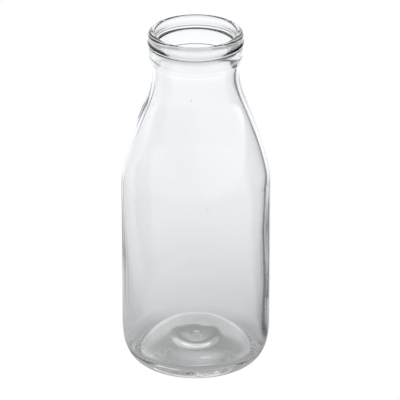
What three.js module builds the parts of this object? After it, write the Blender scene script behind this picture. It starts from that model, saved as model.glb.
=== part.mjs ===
// Clear glass milk bottle: one moulded piece of flint glass with an open mouth.
// Millimetres, +Z up, origin at the centre of the ring that it stands on.
// The wall is one closed solid of revolution: the outer skin runs from the middle
// of the underside out and up to the lip, and the inner skin runs back down from
// the lip to the middle of the floor.

import * as THREE from 'three';

// Overall size
const HEIGHT = 152;
const BODY_RADIUS = 32;
const WALL_THICKNESS = 2.5;
const FACETS_AROUND = 64;

// Foot: a narrow flat ring to stand on, round a domed underside with a low round boss
// in its middle
const FOOT_INNER_RADIUS = 21.4;
const PUSH_UP_HEIGHT = 5.6;
const BOSS_RADIUS = 5;
const BOSS_FADE = 4.4;
const BOSS_DEPTH = 0.7;

// Heel: the rounded lower edge of the body, a quarter of a superellipse
const HEEL_WIDTH = 9.7;
const HEEL_HEIGHT = 17.8;
const HEEL_POWER = 2.55;

// Shoulder: a turn inwards, a long slightly full slope, then a sweep up into the neck
const SIDE_TOP = 83.3;
const TURN_RADIUS = 26;
const SLOPE_FOOT_ANGLE = 0.225;   // radians from upright
const SLOPE_RADIUS = 196;
const SLOPE_HEAD_ANGLE = 0.393;
const NECK_RADIUS = 18.4;

// Finish: a collar with a rounded lower edge, a sharp groove above it, then the ring,
// a slight waist and a rounded lip
const COLLAR_RADIUS = 19.8;
const COLLAR_BOTTOM = 138.8;
const COLLAR_CORNER = 1.1;
const COLLAR_FILLET = 2.7;
const GROOVE_RADIUS = 18.75;
const GROOVE_BOTTOM = 145.9;
const GROOVE_TOP = 146.95;
const RING_RADIUS = 20.5;
const RING_TOP = 147.25;
const WAIST_RADIUS = 20.3;
const WAIST_Z = 147.75;
const LIP_RADIUS = 20.15;
const LIP_BOTTOM = 148.3;
const LIP_TOP = 150.3;
const LAND_OUTER_RADIUS = 18.6;   // flat top of the lip, where a closure seals
const LAND_INNER_RADIUS = 17.9;

// Inside: the mouth tapers down to the throat, and the floor is a dome
const MOUTH_RADIUS = 17.3;
const MOUTH_CORNER = 1.6;
const THROAT_RADIUS = 15.74;
const THROAT_Z = 139;
const THROAT_POWER = 1.5;
const INNER_HEEL_WIDTH = 4.5;
const INNER_HEEL_HEIGHT = 6;
const INNER_HEEL_POWER = 3;
const FLOOR_EDGE_Z = 5;           // the lowest ring of the floor
const FLOOR_RISE = 13;

// Points on an ellipse about [r, z], from just after one angle to the other
function ellipse([r, z], radiusR, radiusZ, from, to, steps) {
  const points = [];
  for (let i = 1; i <= steps; i += 1) {
    const angle = from + ((to - from) * i) / steps;
    points.push([r + radiusR * Math.cos(angle), z + radiusZ * Math.sin(angle)]);
  }
  return points;
}

// Quarter superellipse from its lowest point out and up to the straight side
function heel(sideRadius, bottom, width, height, power, steps) {
  const points = [];
  for (let i = 0; i <= steps; i += 1) {
    const angle = (Math.PI / 2) * (i / steps);
    const across = Math.sin(angle) ** (2 / power);
    const drop = Math.cos(angle) ** (2 / power);
    points.push([sideRadius - width * (1 - across), bottom + height * (1 - drop)]);
  }
  return points;
}

// Parabola from the axis out to just before `radius`
function dome(centreZ, edgeZ, radius, steps) {
  const points = [];
  for (let i = 0; i < steps; i += 1) {
    const across = i / steps;
    points.push([radius * across, centreZ + (edgeZ - centreZ) * across ** 2]);
  }
  return points;
}

// Shoulder from the top of the side to the foot of the neck, `inset` inside the outer skin
function shoulder(inset, steps) {
  const turn = [BODY_RADIUS - TURN_RADIUS, SIDE_TOP];
  const slope = [
    turn[0] + (TURN_RADIUS - SLOPE_RADIUS) * Math.cos(SLOPE_FOOT_ANGLE),
    turn[1] + (TURN_RADIUS - SLOPE_RADIUS) * Math.sin(SLOPE_FOOT_ANGLE),
  ];
  const headRadius = slope[0] + SLOPE_RADIUS * Math.cos(SLOPE_HEAD_ANGLE);
  const sweepRadius = (headRadius - NECK_RADIUS) / (1 - Math.cos(SLOPE_HEAD_ANGLE));
  const sweep = [
    NECK_RADIUS + sweepRadius,
    slope[1] + (SLOPE_RADIUS + sweepRadius) * Math.sin(SLOPE_HEAD_ANGLE),
  ];
  const turnRadius = TURN_RADIUS - inset;
  const slopeRadius = SLOPE_RADIUS - inset;
  const outwardSweep = sweepRadius + inset;
  const sweepStart = Math.PI + SLOPE_HEAD_ANGLE;
  return [
    [BODY_RADIUS - inset, SIDE_TOP],
    ...ellipse(turn, turnRadius, turnRadius, 0, SLOPE_FOOT_ANGLE, steps),
    ...ellipse(slope, slopeRadius, slopeRadius, SLOPE_FOOT_ANGLE, SLOPE_HEAD_ANGLE, steps),
    ...ellipse(sweep, outwardSweep, outwardSweep, sweepStart, Math.PI, steps + 1),
  ];
}

// Underside, from the axis to the inner edge of the standing ring
function underside() {
  return dome(PUSH_UP_HEIGHT, 0, FOOT_INNER_RADIUS, 12).map(([r, z]) => {
    const out = THREE.MathUtils.smoothstep(r, BOSS_RADIUS, BOSS_RADIUS + BOSS_FADE);
    return [r, z - BOSS_DEPTH * (1 - out)];
  });
}

// Outside of the finish, from the neck up to the outer edge of the flat land
function finishOutside() {
  const low = COLLAR_RADIUS - 1;
  const fillet = [low, COLLAR_BOTTOM - COLLAR_FILLET];
  const corner = [low, COLLAR_BOTTOM + COLLAR_CORNER];
  const lipRound = LIP_RADIUS - LAND_OUTER_RADIUS;
  return [
    [NECK_RADIUS, COLLAR_BOTTOM - COLLAR_FILLET],
    ...ellipse(fillet, low - NECK_RADIUS, COLLAR_FILLET, Math.PI, Math.PI / 2, 4),
    ...ellipse(corner, 1, COLLAR_CORNER, -Math.PI / 2, 0, 4),
    [COLLAR_RADIUS, GROOVE_BOTTOM - 0.1],
    [COLLAR_RADIUS - 0.1, GROOVE_BOTTOM + 0.04],
    [GROOVE_RADIUS, GROOVE_BOTTOM + 0.1],
    [GROOVE_RADIUS, GROOVE_TOP - 0.06],
    [RING_RADIUS - 0.15, GROOVE_TOP - 0.05],
    [RING_RADIUS, GROOVE_TOP + 0.1],
    [RING_RADIUS, RING_TOP],
    [WAIST_RADIUS, WAIST_Z],
    [LIP_RADIUS, LIP_BOTTOM],
    [LIP_RADIUS, LIP_TOP],
    ...ellipse([LAND_OUTER_RADIUS, LIP_TOP], lipRound, HEIGHT - LIP_TOP, 0, Math.PI / 2, 4),
  ];
}

// Inside of the mouth, from the inner edge of the flat land down to the throat
function mouth() {
  const lipRound = LAND_INNER_RADIUS - MOUTH_RADIUS;
  const top = HEIGHT - MOUTH_CORNER;
  const steps = 4;
  const points = [
    [LAND_INNER_RADIUS, HEIGHT],
    ...ellipse([LAND_INNER_RADIUS, top], lipRound, MOUTH_CORNER, Math.PI / 2, Math.PI, 3),
  ];
  for (let i = 1; i <= steps; i += 1) {
    const up = 1 - i / steps;
    points.push([
      THROAT_RADIUS + (MOUTH_RADIUS - THROAT_RADIUS) * up ** THROAT_POWER,
      THROAT_Z + (top - THROAT_Z) * up,
    ]);
  }
  return points;
}

function bottleOutline() {
  const innerSide = BODY_RADIUS - WALL_THICKNESS;
  const floorEdge = innerSide - INNER_HEEL_WIDTH;
  const innerHeel = heel(
    innerSide, FLOOR_EDGE_Z, INNER_HEEL_WIDTH, INNER_HEEL_HEIGHT, INNER_HEEL_POWER, 6,
  );
  return [
    ...underside(),
    [FOOT_INNER_RADIUS, 0],
    ...heel(BODY_RADIUS, 0, HEEL_WIDTH, HEEL_HEIGHT, HEEL_POWER, 9),
    ...shoulder(0, 3),
    ...finishOutside(),
    ...mouth(),
    ...shoulder(WALL_THICKNESS, 3).reverse(),
    ...innerHeel.reverse(),
    ...dome(FLOOR_EDGE_Z + FLOOR_RISE, FLOOR_EDGE_Z, floorEdge, 8).reverse(),
  ];
}

function glassBottle() {
  const outline = bottleOutline().map(([r, z]) => new THREE.Vector2(r, z));
  const geometry = new THREE.LatheGeometry(outline, FACETS_AROUND);
  geometry.rotateX(Math.PI / 2);  // the lathe turns about Y, and the bottle stands on Z
  const clearGlass = new THREE.MeshStandardMaterial({
    color: 0xe9eeea,
    roughness: 0.04,
    metalness: 0,
    transparent: true,
    opacity: 0.35,
  });
  const mesh = new THREE.Mesh(geometry, clearGlass);
  mesh.name = 'glass_bottle';
  return mesh;
}

const bottle = new THREE.Group();
bottle.add(glassBottle());

export default bottle;
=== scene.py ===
import math

import bpy
import numpy as np
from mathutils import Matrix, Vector


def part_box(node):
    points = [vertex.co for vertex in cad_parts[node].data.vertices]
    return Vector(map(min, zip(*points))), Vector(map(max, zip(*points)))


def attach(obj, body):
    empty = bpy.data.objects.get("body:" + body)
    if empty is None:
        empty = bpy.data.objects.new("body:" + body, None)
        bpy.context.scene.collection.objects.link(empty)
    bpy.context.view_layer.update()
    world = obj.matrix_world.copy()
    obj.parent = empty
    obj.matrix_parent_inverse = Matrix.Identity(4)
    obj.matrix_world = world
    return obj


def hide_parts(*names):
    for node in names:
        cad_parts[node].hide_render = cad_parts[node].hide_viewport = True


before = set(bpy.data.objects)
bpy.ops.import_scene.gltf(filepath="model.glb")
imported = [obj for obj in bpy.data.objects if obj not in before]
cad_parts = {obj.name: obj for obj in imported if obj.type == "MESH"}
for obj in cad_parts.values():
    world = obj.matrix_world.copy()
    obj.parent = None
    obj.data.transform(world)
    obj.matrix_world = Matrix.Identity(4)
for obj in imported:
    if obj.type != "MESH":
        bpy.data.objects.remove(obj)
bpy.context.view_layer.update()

# A clear glass milk bottle: one closed wall turned round Z, on a pale studio sweep.
# Sizes are in mm up to the mesh, and in metres from there on. Angles round the bottle
# start at its front (-Y) and run towards +X.

MM = 0.001
node_lo, node_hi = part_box("glass_bottle")

# ------------------------------------------------------------- outline, in mm
HEIGHT = (node_hi.z - node_lo.z) / MM
BODY_RADIUS = 32.0
WALL_THICKNESS = 2.5
AROUND = 480                              # steps round the bottle

FOOT_INNER_RADIUS = 21.4                  # inner edge of the flat ring that it stands on
PUSH_UP_HEIGHT = 5.6                      # the dome in the underside
HEEL_WIDTH, HEEL_HEIGHT, HEEL_POWER = 9.7, 17.8, 2.55

SIDE_TOP = 83.3
TURN_RADIUS = 26.0
SLOPE_FOOT_ANGLE = 0.225                  # radians from upright
SLOPE_RADIUS = 196.0
SLOPE_HEAD_ANGLE = 0.393
NECK_RADIUS = 18.4

COLLAR_RADIUS, COLLAR_BOTTOM = 19.8, 138.8
COLLAR_FILLET = 2.7                       # height of the hollow curve under the collar
COLLAR_CORNER_WIDTH, COLLAR_CORNER_HEIGHT = 1.0, 1.1
GROOVE_RADIUS, GROOVE_BOTTOM, GROOVE_TOP = 18.75, 145.9, 146.95
RING_RADIUS, RING_TOP = 20.5, 147.25
RING_EDGE = 0.15                          # radius of the ring's lower edge
WAIST_RADIUS, WAIST_Z = 20.3, 147.75
LIP_RADIUS, LIP_BOTTOM, LIP_TOP = 20.15, 148.3, 150.3
LAND_OUTER_RADIUS, LAND_INNER_RADIUS = 18.6, 17.9     # the flat top of the lip

MOUTH_RADIUS, MOUTH_CORNER = 17.3, 1.6
THROAT = ((17.3, 150.4), (16.7, 147.0), (16.03, 143.0), (15.74, 139.0))
INNER_HEEL_WIDTH, INNER_HEEL_HEIGHT, INNER_HEEL_POWER = 4.5, 6.0, 3.0
FLOOR_EDGE_Z, FLOOR_RISE = 5.0, 13.0      # the floor inside is a dome too

# ---------------------------------------------------- what blowing leaves, mm
# waves in the wall: size, lobes round the bottle, phase, height per radian
WALL_WAVES = ((0.18, 1, 0.6, 41), (0.14, 2, 2.2, -23), (0.12, 3, 0.0, 12), (0.05, 5, 0.0, -7))
SKIN_WAVES = ((0.03, 3, 0.0, 17), (0.02, 6, 0.0, -11))
SEAM_ANGLES = (math.radians(98), math.radians(278))
SEAM_HEIGHT, SEAM_WIDTH = 0.07, 0.45
BOSS_RADIUS, BOSS_FADE, BOSS_DEPTH = 5.0, 4.4, 1.25   # in the middle of the underside
FOOT_DIMPLES, DIMPLE_DEPTH = 60, 0.11
# bubbles in the wall: angle in degrees, height, depth below the skin, radius
SEEDS = ((-6, 128.0, 1.0, 0.22), (9, 83.0, 1.3, 0.20), (-21, 94.0, 0.9, 0.16),
         (-15, 73.0, 1.5, 0.20), (4, 88.0, 1.1, 0.14), (17, 112.0, 1.2, 0.16),
         (-33, 57.0, 1.4, 0.15), (12, 46.0, 0.9, 0.13), (158, 66.0, 1.2, 0.20),
         (203, 101.0, 1.0, 0.16), (121, 39.0, 1.3, 0.18))
SEED_ROWS, SEED_COLUMNS, SEED_STRETCH = 6, 10, 1.4

# ------------------------------------------------------------ glass and light
GLASS_IOR = 1.51
GLASS_TINT = (0.785, 0.785, 0.705, 1)     # absorbs density * (1 - tint) per metre
GLASS_DENSITY = 12.0
CORD_SCALE, CORD_HEIGHT = 70.0, 0.00003
SCUFF_SCALE, SCUFF_ROUGHNESS = 900.0, 0.45

WHITE = (1, 1, 1, 1)
FLOOR_TINT = (0.955, 0.965, 1.0, 1)
BACKDROP_TINT = (0.955, 0.97, 1.0, 1)
FLOOR_HALF_SIZE, FLOOR_DROP = 4.0, 0.0003
# floor brightness through the glass: far off, and in the painted shadow at the bottle
FLOOR_FAR_LEVEL, PAINTED_SHADOW_LEVEL = 1.10, 0.41
SHADE_REACH = 0.118                       # how far the painted shadow on the floor reaches round the bottle

# ------------------------------------------------------------------ camera, m
CAMERA_BACK = 1.450                       # level distance from the bottle's axis
CAMERA_HEIGHT = 0.7484
CAMERA_LENS = 334.4
AIM = Vector((0.0018, 0.0, 0.0735))


def ellipse(centre, radius_r, radius_z, start, end, steps):
    """Points on an ellipse, from just after one angle to the other."""
    angles = start + (end - start) * np.arange(1, steps + 1) / steps
    return [(centre[0] + radius_r * math.cos(a), centre[1] + radius_z * math.sin(a))
            for a in angles]


def line(start, end, steps):
    """Points from just after the start to the end."""
    return [(start[0] + (end[0] - start[0]) * i / steps, start[1] + (end[1] - start[1]) * i / steps)
            for i in range(1, steps + 1)]


def heel(side_radius, bottom, width, height, power, steps):
    """Quarter superellipse from its lowest point out and up to the straight side."""
    points = []
    for i in range(steps + 1):
        angle = math.pi / 2 * i / steps
        across = math.sin(angle) ** (2 / power)
        drop = max(math.cos(angle), 0.0) ** (2 / power)
        points.append((side_radius - width * (1 - across), bottom + height * (1 - drop)))
    return points


def dome(centre_z, edge_z, radius, steps):
    """Parabola from the axis out to just before radius."""
    return [(radius * i / steps, centre_z + (edge_z - centre_z) * (i / steps) ** 2)
            for i in range(steps)]


def shoulder(inset, steps):
    """The turn inwards, the long slope and the sweep into the neck, inset inside the outer skin."""
    turn = (BODY_RADIUS - TURN_RADIUS, SIDE_TOP)
    slope = (turn[0] + (TURN_RADIUS - SLOPE_RADIUS) * math.cos(SLOPE_FOOT_ANGLE),
             turn[1] + (TURN_RADIUS - SLOPE_RADIUS) * math.sin(SLOPE_FOOT_ANGLE))
    head_radius = slope[0] + SLOPE_RADIUS * math.cos(SLOPE_HEAD_ANGLE)
    sweep_radius = (head_radius - NECK_RADIUS) / (1 - math.cos(SLOPE_HEAD_ANGLE))
    sweep = (NECK_RADIUS + sweep_radius,
             slope[1] + (SLOPE_RADIUS + sweep_radius) * math.sin(SLOPE_HEAD_ANGLE))
    turn_r = TURN_RADIUS - inset
    slope_r = SLOPE_RADIUS - inset
    sweep_r = sweep_radius + inset
    sweep_start = math.pi + SLOPE_HEAD_ANGLE
    return [(BODY_RADIUS - inset, SIDE_TOP),
            *ellipse(turn, turn_r, turn_r, 0, SLOPE_FOOT_ANGLE, steps // 3),
            *ellipse(slope, slope_r, slope_r, SLOPE_FOOT_ANGLE, SLOPE_HEAD_ANGLE, steps),
            *ellipse(sweep, sweep_r, sweep_r, sweep_start, math.pi, steps // 2)]


def finish_outside():
    """From the neck up over the collar, the undercut groove and the ring to the rounded lip."""
    low = COLLAR_RADIUS - COLLAR_CORNER_WIDTH
    fillet = (low, COLLAR_BOTTOM - COLLAR_FILLET)
    corner = (low, COLLAR_BOTTOM + COLLAR_CORNER_HEIGHT)
    edge = (RING_RADIUS - RING_EDGE, GROOVE_TOP + 0.1)
    lip = (LAND_OUTER_RADIUS, LIP_TOP)
    return [(NECK_RADIUS, COLLAR_BOTTOM - COLLAR_FILLET),
            *ellipse(fillet, low - NECK_RADIUS, COLLAR_FILLET, math.pi, math.pi / 2, 7),
            *ellipse(corner, COLLAR_CORNER_WIDTH, COLLAR_CORNER_HEIGHT, -math.pi / 2, 0, 9),
            *line((COLLAR_RADIUS, corner[1]), (COLLAR_RADIUS, GROOVE_BOTTOM - 0.1), 3),
            *line((COLLAR_RADIUS - 0.1, GROOVE_BOTTOM + 0.04), (GROOVE_RADIUS, GROOVE_BOTTOM + 0.1), 4),
            *line((GROOVE_RADIUS, GROOVE_TOP - 0.06), (edge[0], GROOVE_TOP - 0.05), 4),
            *ellipse(edge, RING_EDGE, RING_EDGE, -math.pi / 2, 0, 3),
            (RING_RADIUS, RING_TOP),
            (WAIST_RADIUS, WAIST_Z),
            (LIP_RADIUS + 0.02, LIP_BOTTOM),
            *line((LIP_RADIUS, LIP_BOTTOM + 0.4), (LIP_RADIUS, LIP_TOP), 3),
            *ellipse(lip, LIP_RADIUS - LAND_OUTER_RADIUS, HEIGHT - LIP_TOP, 0, math.pi / 2, 10)]


def smooth_through(knots, steps):
    """Points along a smooth curve r(z) through (r, z) knots that run downward, after the first."""
    r = [k[0] for k in knots]
    z = [k[1] for k in knots]
    step = [z[i + 1] - z[i] for i in range(len(z) - 1)]
    rise = [(r[i + 1] - r[i]) / step[i] for i in range(len(step))]
    inner_slopes = [2 * a * b / (a + b) if a * b > 0 else 0.0 for a, b in zip(rise, rise[1:])]
    slope = [rise[0], *inner_slopes, rise[-1]]
    points = []
    for i, h in enumerate(step):
        for j in range(1, steps + 1):
            t = j / steps
            from_start = (2 * t**3 - 3 * t**2 + 1) * r[i] + (t**3 - 2 * t**2 + t) * h * slope[i]
            to_end = (3 * t**2 - 2 * t**3) * r[i + 1] + (t**3 - t**2) * h * slope[i + 1]
            points.append((from_start + to_end, z[i] + t * h))
    return points


def mouth(throat_end):
    """Inside of the lip and the throat, down to just before throat_end."""
    corner = (LAND_INNER_RADIUS, HEIGHT - MOUTH_CORNER)
    lip_round = LAND_INNER_RADIUS - MOUTH_RADIUS
    return [(LAND_INNER_RADIUS, HEIGHT),
            *ellipse(corner, lip_round, MOUTH_CORNER, math.pi / 2, math.pi, 7),
            *smooth_through((*THROAT, throat_end), 5)[:-1]]


def outline():
    """(r, z) points from axis to axis, the outer skin first, and how many of them are on it."""
    outer = [*dome(PUSH_UP_HEIGHT, 0.0, FOOT_INNER_RADIUS, 18),
             *line((FOOT_INNER_RADIUS, 0), (BODY_RADIUS - HEEL_WIDTH, 0), 3)[:-1],
             *heel(BODY_RADIUS, 0.0, HEEL_WIDTH, HEEL_HEIGHT, HEEL_POWER, 17),
             *line((BODY_RADIUS, HEEL_HEIGHT), (BODY_RADIUS, SIDE_TOP), 8)[:-1],
             *shoulder(0.0, 12),
             *finish_outside()]
    inner_side = BODY_RADIUS - WALL_THICKNESS
    floor_radius = inner_side - INNER_HEEL_WIDTH
    inner_shoulder = shoulder(WALL_THICKNESS, 12)[::-1]
    inner_heel = heel(inner_side, FLOOR_EDGE_Z, INNER_HEEL_WIDTH, INNER_HEEL_HEIGHT,
                      INNER_HEEL_POWER, 14)[::-1]
    inner = [*mouth(inner_shoulder[0]),
             *inner_shoulder,
             *line(inner_shoulder[-1], inner_heel[0], 8)[:-1],
             *inner_heel,
             *dome(FLOOR_EDGE_Z + FLOOR_RISE, FLOOR_EDGE_Z, floor_radius, 20)[::-1]]
    return np.array(outer + inner), len(outer)


def smooth_step(value, low, high):
    t = np.clip((value - low) / (high - low), 0, 1)
    return t * t * (3 - 2 * t)


def waves(table, a, z):
    return sum(size * np.sin(lobes * a + phase + z / pitch) for size, lobes, phase, pitch in table)


def mould_seams(r, z, a):
    """Two upright ridges on the outside, fading out near the foot and below the finish."""
    ridges = sum(np.exp(-(((a - angle) * r / SEAM_WIDTH) ** 2)) for angle in SEAM_ANGLES)
    return SEAM_HEIGHT * ridges * smooth_step(z, 3, 8) * (1 - smooth_step(z, 128, 134))


def floor_ripple(r, a):
    """The floor leans and has three soft lobes and fine rings, and is still at its edge and middle."""
    lean = 0.35 * (r / 25) * np.sin(a + 0.9)
    lobes = 0.25 * (r / 25) * np.sin(3 * a + 2.6)
    rings = 0.03 * np.sin(r / 0.9 + 1.2 * np.sin(3 * a)) * np.minimum(r / 6, 1)
    return (lean + lobes + rings) * (1 - smooth_step(r, 21, 26))


def boss(r, a):
    """How far the boss hangs below the underside's dome; it is deeper at the front."""
    round_mark = 1 - smooth_step(r, BOSS_RADIUS, BOSS_RADIUS + BOSS_FADE)
    to_front = 0.45 + 0.55 * np.cos(a - 0.1) * np.minimum(r / BOSS_RADIUS, 1)
    return BOSS_DEPTH * round_mark * to_front


def glass_flow(rings, angles, outer_count):
    """How far the blown glass stands off its ideal outline, outwards and upwards."""
    r, z, a = rings[:, 0:1], rings[:, 1:2], angles[None, :]
    inside = (np.arange(len(rings)) >= outer_count)[:, None]
    body = smooth_step(z, 9, 24) * (1 - smooth_step(z, 118, 134))
    skin = body * waves(SKIN_WAVES, a, z) + mould_seams(r, z, a)
    dr = np.where(inside, body * waves(WALL_WAVES, a, z), skin)

    floor = inside & (z < 20) & (r < 26)
    underside = ~inside & (z < 8) & (r < 20)
    foot = ~inside & (z < 0.5) & (r > 21.5)
    dimples = DIMPLE_DEPTH * (0.5 + 0.5 * np.cos(FOOT_DIMPLES * a))
    dz = np.where(floor, floor_ripple(r, a), 0.0)
    dz = dz - np.where(underside, boss(r, a), 0.0)
    dz = dz + np.where(foot, dimples, 0.0)
    return dr, dz


def wall_vertices(points, outer_count):
    """Rings of vertices, then the two points on the axis.

    The axis points stay at their own height, which leaves a small dimple in the boss.
    """
    rings = points[1:-1]
    angles = np.arange(AROUND) * 2 * math.pi / AROUND
    dr, dz = glass_flow(rings, angles, outer_count - 1)
    radius = rings[:, 0:1] + dr
    height = np.broadcast_to(rings[:, 1:2] + dz, radius.shape)
    rings_xyz = np.stack([radius * np.sin(angles), -radius * np.cos(angles), height], -1)
    on_axis = [[0, 0, points[0, 1]], [0, 0, points[-1, 1]]]
    return (np.concatenate([rings_xyz.reshape(-1, 3), on_axis]) * MM).tolist()


def wall_faces(ring_count):
    """Quads between rings, and a fan of triangles round each point on the axis."""
    ring, step = np.meshgrid(np.arange(ring_count - 1), np.arange(AROUND), indexing="ij")
    after = (step + 1) % AROUND
    low, high = ring * AROUND, (ring + 1) * AROUND
    faces = np.stack([low + step, low + after, high + after, high + step], -1).reshape(-1, 4).tolist()
    first_axis = ring_count * AROUND
    last_axis = first_axis + 1
    last_ring = (ring_count - 1) * AROUND
    for step in range(AROUND):
        after = (step + 1) % AROUND
        faces.append([first_axis, after, step])
        faces.append([last_axis, last_ring + step, last_ring + after])
    return faces


def skin_radius(outer, z):
    side = outer[outer[:, 1] > HEEL_HEIGHT]
    return float(np.interp(z, side[:, 1], side[:, 0]))


def add_seed(co, faces, angle, z, radius, size):
    """A small bubble in the wall: a closed shell facing inward, stretched upward."""
    base = len(co)
    centre = np.array([radius * math.sin(angle), -radius * math.cos(angle), z])
    for i in range(SEED_ROWS + 1):
        tilt = math.pi * i / SEED_ROWS
        for j in range(SEED_COLUMNS):
            turn = 2 * math.pi * j / SEED_COLUMNS
            point = np.array([math.sin(tilt) * math.cos(turn),
                              math.sin(tilt) * math.sin(turn),
                              SEED_STRETCH * math.cos(tilt)])
            co.append(((centre + size * point) * MM).tolist())
    for i in range(SEED_ROWS):
        low = base + i * SEED_COLUMNS
        high = low + SEED_COLUMNS
        for j in range(SEED_COLUMNS):
            k = (j + 1) % SEED_COLUMNS
            faces.append([low + j, low + k, high + k, high + j])


def glass_mesh(name):
    """The wall with its bubbles, as one mesh."""
    points, outer_count = outline()
    co = wall_vertices(points, outer_count)
    faces = wall_faces(len(points) - 2)
    for angle, height, depth, size in SEEDS:
        radius = skin_radius(points[:outer_count], height) - depth
        add_seed(co, faces, math.radians(angle), height, radius, size)
    mesh = bpy.data.meshes.new(name)
    mesh.from_pydata(co, [], faces)
    mesh.update()
    mesh.shade_smooth()
    return mesh


def math_node(nt, operation, a, b=None):
    """A Math node over sockets or numbers; returns its output."""
    node = nt.nodes.new("ShaderNodeMath")
    node.operation = operation
    for socket, value in zip(node.inputs, (a, b)):
        if value is None:
            continue
        if isinstance(value, (int, float)):
            socket.default_value = value
        else:
            nt.links.new(value, socket)
    return node.outputs[0]


def range_node(nt, value, low, high, at_low, at_high, interpolation="SMOOTHSTEP"):
    """A Map Range node: at_low up to low, at_high from high on; returns its output."""
    node = nt.nodes.new("ShaderNodeMapRange")
    node.interpolation_type = interpolation
    nt.links.new(value, node.inputs["Value"])
    numbers = {"From Min": low, "From Max": high, "To Min": at_low, "To Max": at_high}
    for name, number in numbers.items():
        node.inputs[name].default_value = number
    return node.outputs[0]


def noise_node(nt, coord, scale):
    node = nt.nodes.new("ShaderNodeTexNoise")
    node.inputs["Scale"].default_value = scale
    nt.links.new(coord.outputs["Object"], node.inputs["Vector"])
    return node


def glass_material():
    """Clear flint glass, faintly olive through its thickness, with soft cords and a scuffed foot."""
    mat = bpy.data.materials.new("clear_glass")
    mat.use_nodes = True
    nt = mat.node_tree
    bsdf = nt.nodes["Principled BSDF"]
    bsdf.inputs["Base Color"].default_value = WHITE
    bsdf.inputs["IOR"].default_value = GLASS_IOR
    bsdf.inputs["Transmission Weight"].default_value = 1.0
    coord = nt.nodes.new("ShaderNodeTexCoord")

    cords = noise_node(nt, coord, CORD_SCALE)
    cords.inputs["Detail"].default_value = 1.0
    bump = nt.nodes.new("ShaderNodeBump")
    bump.inputs["Strength"].default_value = 1.0
    bump.inputs["Distance"].default_value = CORD_HEIGHT
    nt.links.new(cords.outputs[0], bump.inputs["Height"])
    nt.links.new(bump.outputs[0], bsdf.inputs["Normal"])

    scuff = noise_node(nt, coord, SCUFF_SCALE)
    sep = nt.nodes.new("ShaderNodeSeparateXYZ")
    nt.links.new(coord.outputs["Object"], sep.inputs[0])
    foot = range_node(nt, sep.outputs["Z"], 0.0002, 0.0009, SCUFF_ROUGHNESS, 0.0)
    nt.links.new(math_node(nt, "MULTIPLY", foot, scuff.outputs[0]), bsdf.inputs["Roughness"])

    absorb = nt.nodes.new("ShaderNodeVolumeAbsorption")
    absorb.inputs["Color"].default_value = GLASS_TINT
    absorb.inputs["Density"].default_value = GLASS_DENSITY
    nt.links.new(absorb.outputs[0], nt.nodes["Material Output"].inputs["Volume"])
    return mat


def add_bottle():
    mesh = glass_mesh("bottle_glass")
    obj = bpy.data.objects.new("bottle_glass", mesh)
    bpy.context.scene.collection.objects.link(obj)
    mesh.materials.append(glass_material())
    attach(obj, "root")
    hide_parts("glass_bottle")


def white_from_camera(nt, shader, level, tint):
    """Lights a shader with a level and tint for rays through the glass, and white seen directly."""
    path = nt.nodes.new("ShaderNodeLightPath")
    strength = nt.nodes.new("ShaderNodeMix")
    strength.data_type = "FLOAT"
    strength.inputs["B"].default_value = 1.0
    nt.links.new(path.outputs["Is Camera Ray"], strength.inputs["Factor"])
    nt.links.new(level, strength.inputs["A"])
    nt.links.new(strength.outputs[0], shader.inputs["Strength"])
    colour = nt.nodes.new("ShaderNodeMix")
    colour.data_type = "RGBA"
    colour.inputs["A"].default_value = tint
    colour.inputs["B"].default_value = WHITE
    nt.links.new(path.outputs["Is Camera Ray"], colour.inputs["Factor"])
    nt.links.new(colour.outputs["Result"], shader.inputs["Color"])


def floor_material():
    """A pale floor. Through the glass it carries painted shade: a painted shadow round the bottle,
    darker in front of and beside it, and a dark painted patch behind it on the right.
    """
    mat = bpy.data.materials.new("pale_floor_painted_shadow")
    mat.use_nodes = True
    nt = mat.node_tree
    nt.nodes.clear()
    out = nt.nodes.new("ShaderNodeOutputMaterial")
    emit = nt.nodes.new("ShaderNodeEmission")
    geo = nt.nodes.new("ShaderNodeNewGeometry")
    length = nt.nodes.new("ShaderNodeVectorMath")
    length.operation = "LENGTH"
    nt.links.new(geo.outputs["Position"], length.inputs[0])
    distance = length.outputs["Value"]
    sep = nt.nodes.new("ShaderNodeSeparateXYZ")
    nt.links.new(geo.outputs["Position"], sep.inputs[0])
    x, y, _ = sep.outputs

    # painted shadow: through the glass the floor darkens towards the bottle, as if shaded by it
    painted_shadow_nearness = math_node(nt, "EXPONENT", math_node(nt, "MULTIPLY", distance, -1 / SHADE_REACH))
    level = range_node(nt, painted_shadow_nearness, 0.0, 1.0, FLOOR_FAR_LEVEL, PAINTED_SHADOW_LEVEL, "LINEAR")

    # painted shade: through the glass the floor is darker in front of and beside the bottle than behind
    # it
    reach = math_node(nt, "ADD", distance, 0.025)
    sideways = math_node(nt, "DIVIDE", math_node(nt, "MULTIPLY", x, x), reach)
    behind = math_node(nt, "DIVIDE", math_node(nt, "SUBTRACT", y, sideways), reach)
    level = math_node(nt, "MULTIPLY", level, range_node(nt, behind, 0.1, 0.6, 0.76, 1.0))

    # painted shade: a dark patch on the floor behind the bottle on the right, seen only through the
    # glass
    shade_wedge = range_node(nt, math_node(nt, "DIVIDE", x, reach), 0.55, 0.62, 0.0, 0.75)
    shade_wedge = math_node(nt, "MULTIPLY", shade_wedge, range_node(nt, y, 0.0, 0.015, 0.0, 1.0))
    level = math_node(nt, "MULTIPLY", level, math_node(nt, "SUBTRACT", 1.0, shade_wedge))

    white_from_camera(nt, emit, level, FLOOR_TINT)
    nt.links.new(emit.outputs[0], out.inputs["Surface"])
    return mat


def add_floor():
    mesh = bpy.data.meshes.new("floor")
    s, z = FLOOR_HALF_SIZE, -FLOOR_DROP
    mesh.from_pydata([(-s, -s, z), (s, -s, z), (s, s, z), (-s, s, z)], [], [(0, 1, 2, 3)])
    obj = bpy.data.objects.new("floor", mesh)
    bpy.context.scene.collection.objects.link(obj)
    mesh.materials.append(floor_material())


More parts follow.
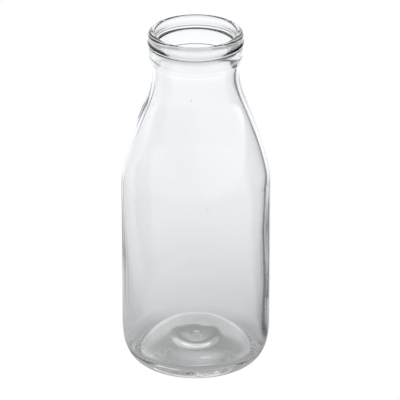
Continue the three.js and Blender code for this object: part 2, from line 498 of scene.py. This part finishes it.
def add_world():
    """A white studio. Through the glass it is dimmer on the left and in a band behind, high up."""
    world = bpy.data.worlds.new("studio")
    bpy.context.scene.world = world
    world.use_nodes = True
    nt = world.node_tree
    nt.nodes.clear()
    out = nt.nodes.new("ShaderNodeOutputWorld")
    background = nt.nodes.new("ShaderNodeBackground")
    coord = nt.nodes.new("ShaderNodeTexCoord")
    sep = nt.nodes.new("ShaderNodeSeparateXYZ")
    nt.links.new(coord.outputs["Generated"], sep.inputs[0])
    x, y, z = sep.outputs

    # a bank of light on the right, which ends overhead
    bank = math_node(nt, "SUBTRACT", range_node(nt, x, -0.5, 0.6, 0.50, 0.95), 0.5)
    side = math_node(nt, "MULTIPLY", bank, range_node(nt, z, 0.45, 0.80, 1.0, 0.0))
    side = math_node(nt, "ADD", side, 0.5)
    # the left comes up to the floor's level at the horizon
    side = math_node(nt, "MAXIMUM", side, range_node(nt, z, 0.0, 0.16, 0.74, 0.50))

    # brightest near the floor, most of all behind the bottle
    horizon = range_node(nt, z, 0.03, 0.22, 1.15, 0.90)
    lift = math_node(nt, "MULTIPLY", range_node(nt, y, 0.0, 0.6, 0.0, 1.0),
                     range_node(nt, z, 0.02, 0.20, 0.5, 0.0))
    level = math_node(nt, "MULTIPLY", side, math_node(nt, "ADD", horizon, lift))

    band = math_node(nt, "MULTIPLY", range_node(nt, y, 0.25, 0.65, 0.0, 0.42),
                     range_node(nt, z, 0.42, 0.52, 0.0, 1.0))
    band = math_node(nt, "MULTIPLY", band, range_node(nt, z, 0.62, 0.85, 1.0, 0.0))
    level = math_node(nt, "MULTIPLY", level, math_node(nt, "SUBTRACT", 1.0, band))

    white_from_camera(nt, background, level, BACKDROP_TINT)
    nt.links.new(background.outputs[0], out.inputs["Surface"])


def add_camera():
    data = bpy.data.cameras.new("camera")
    data.lens = CAMERA_LENS
    data.sensor_width = 36
    data.clip_end = 20
    cam = bpy.data.objects.new("camera", data)
    bpy.context.scene.collection.objects.link(cam)
    cam.location = (0, -CAMERA_BACK, CAMERA_HEIGHT)
    cam.rotation_mode = "QUATERNION"
    cam.rotation_quaternion = (AIM - cam.location).to_track_quat("-Z", "Y")
    bpy.context.scene.camera = cam


scene = bpy.context.scene
scene.view_settings.view_transform = "Standard"
scene.cycles.max_bounces = 32
scene.cycles.transmission_bounces = 32
scene.cycles.glossy_bounces = 16

add_bottle()
add_floor()
add_world()
add_camera()
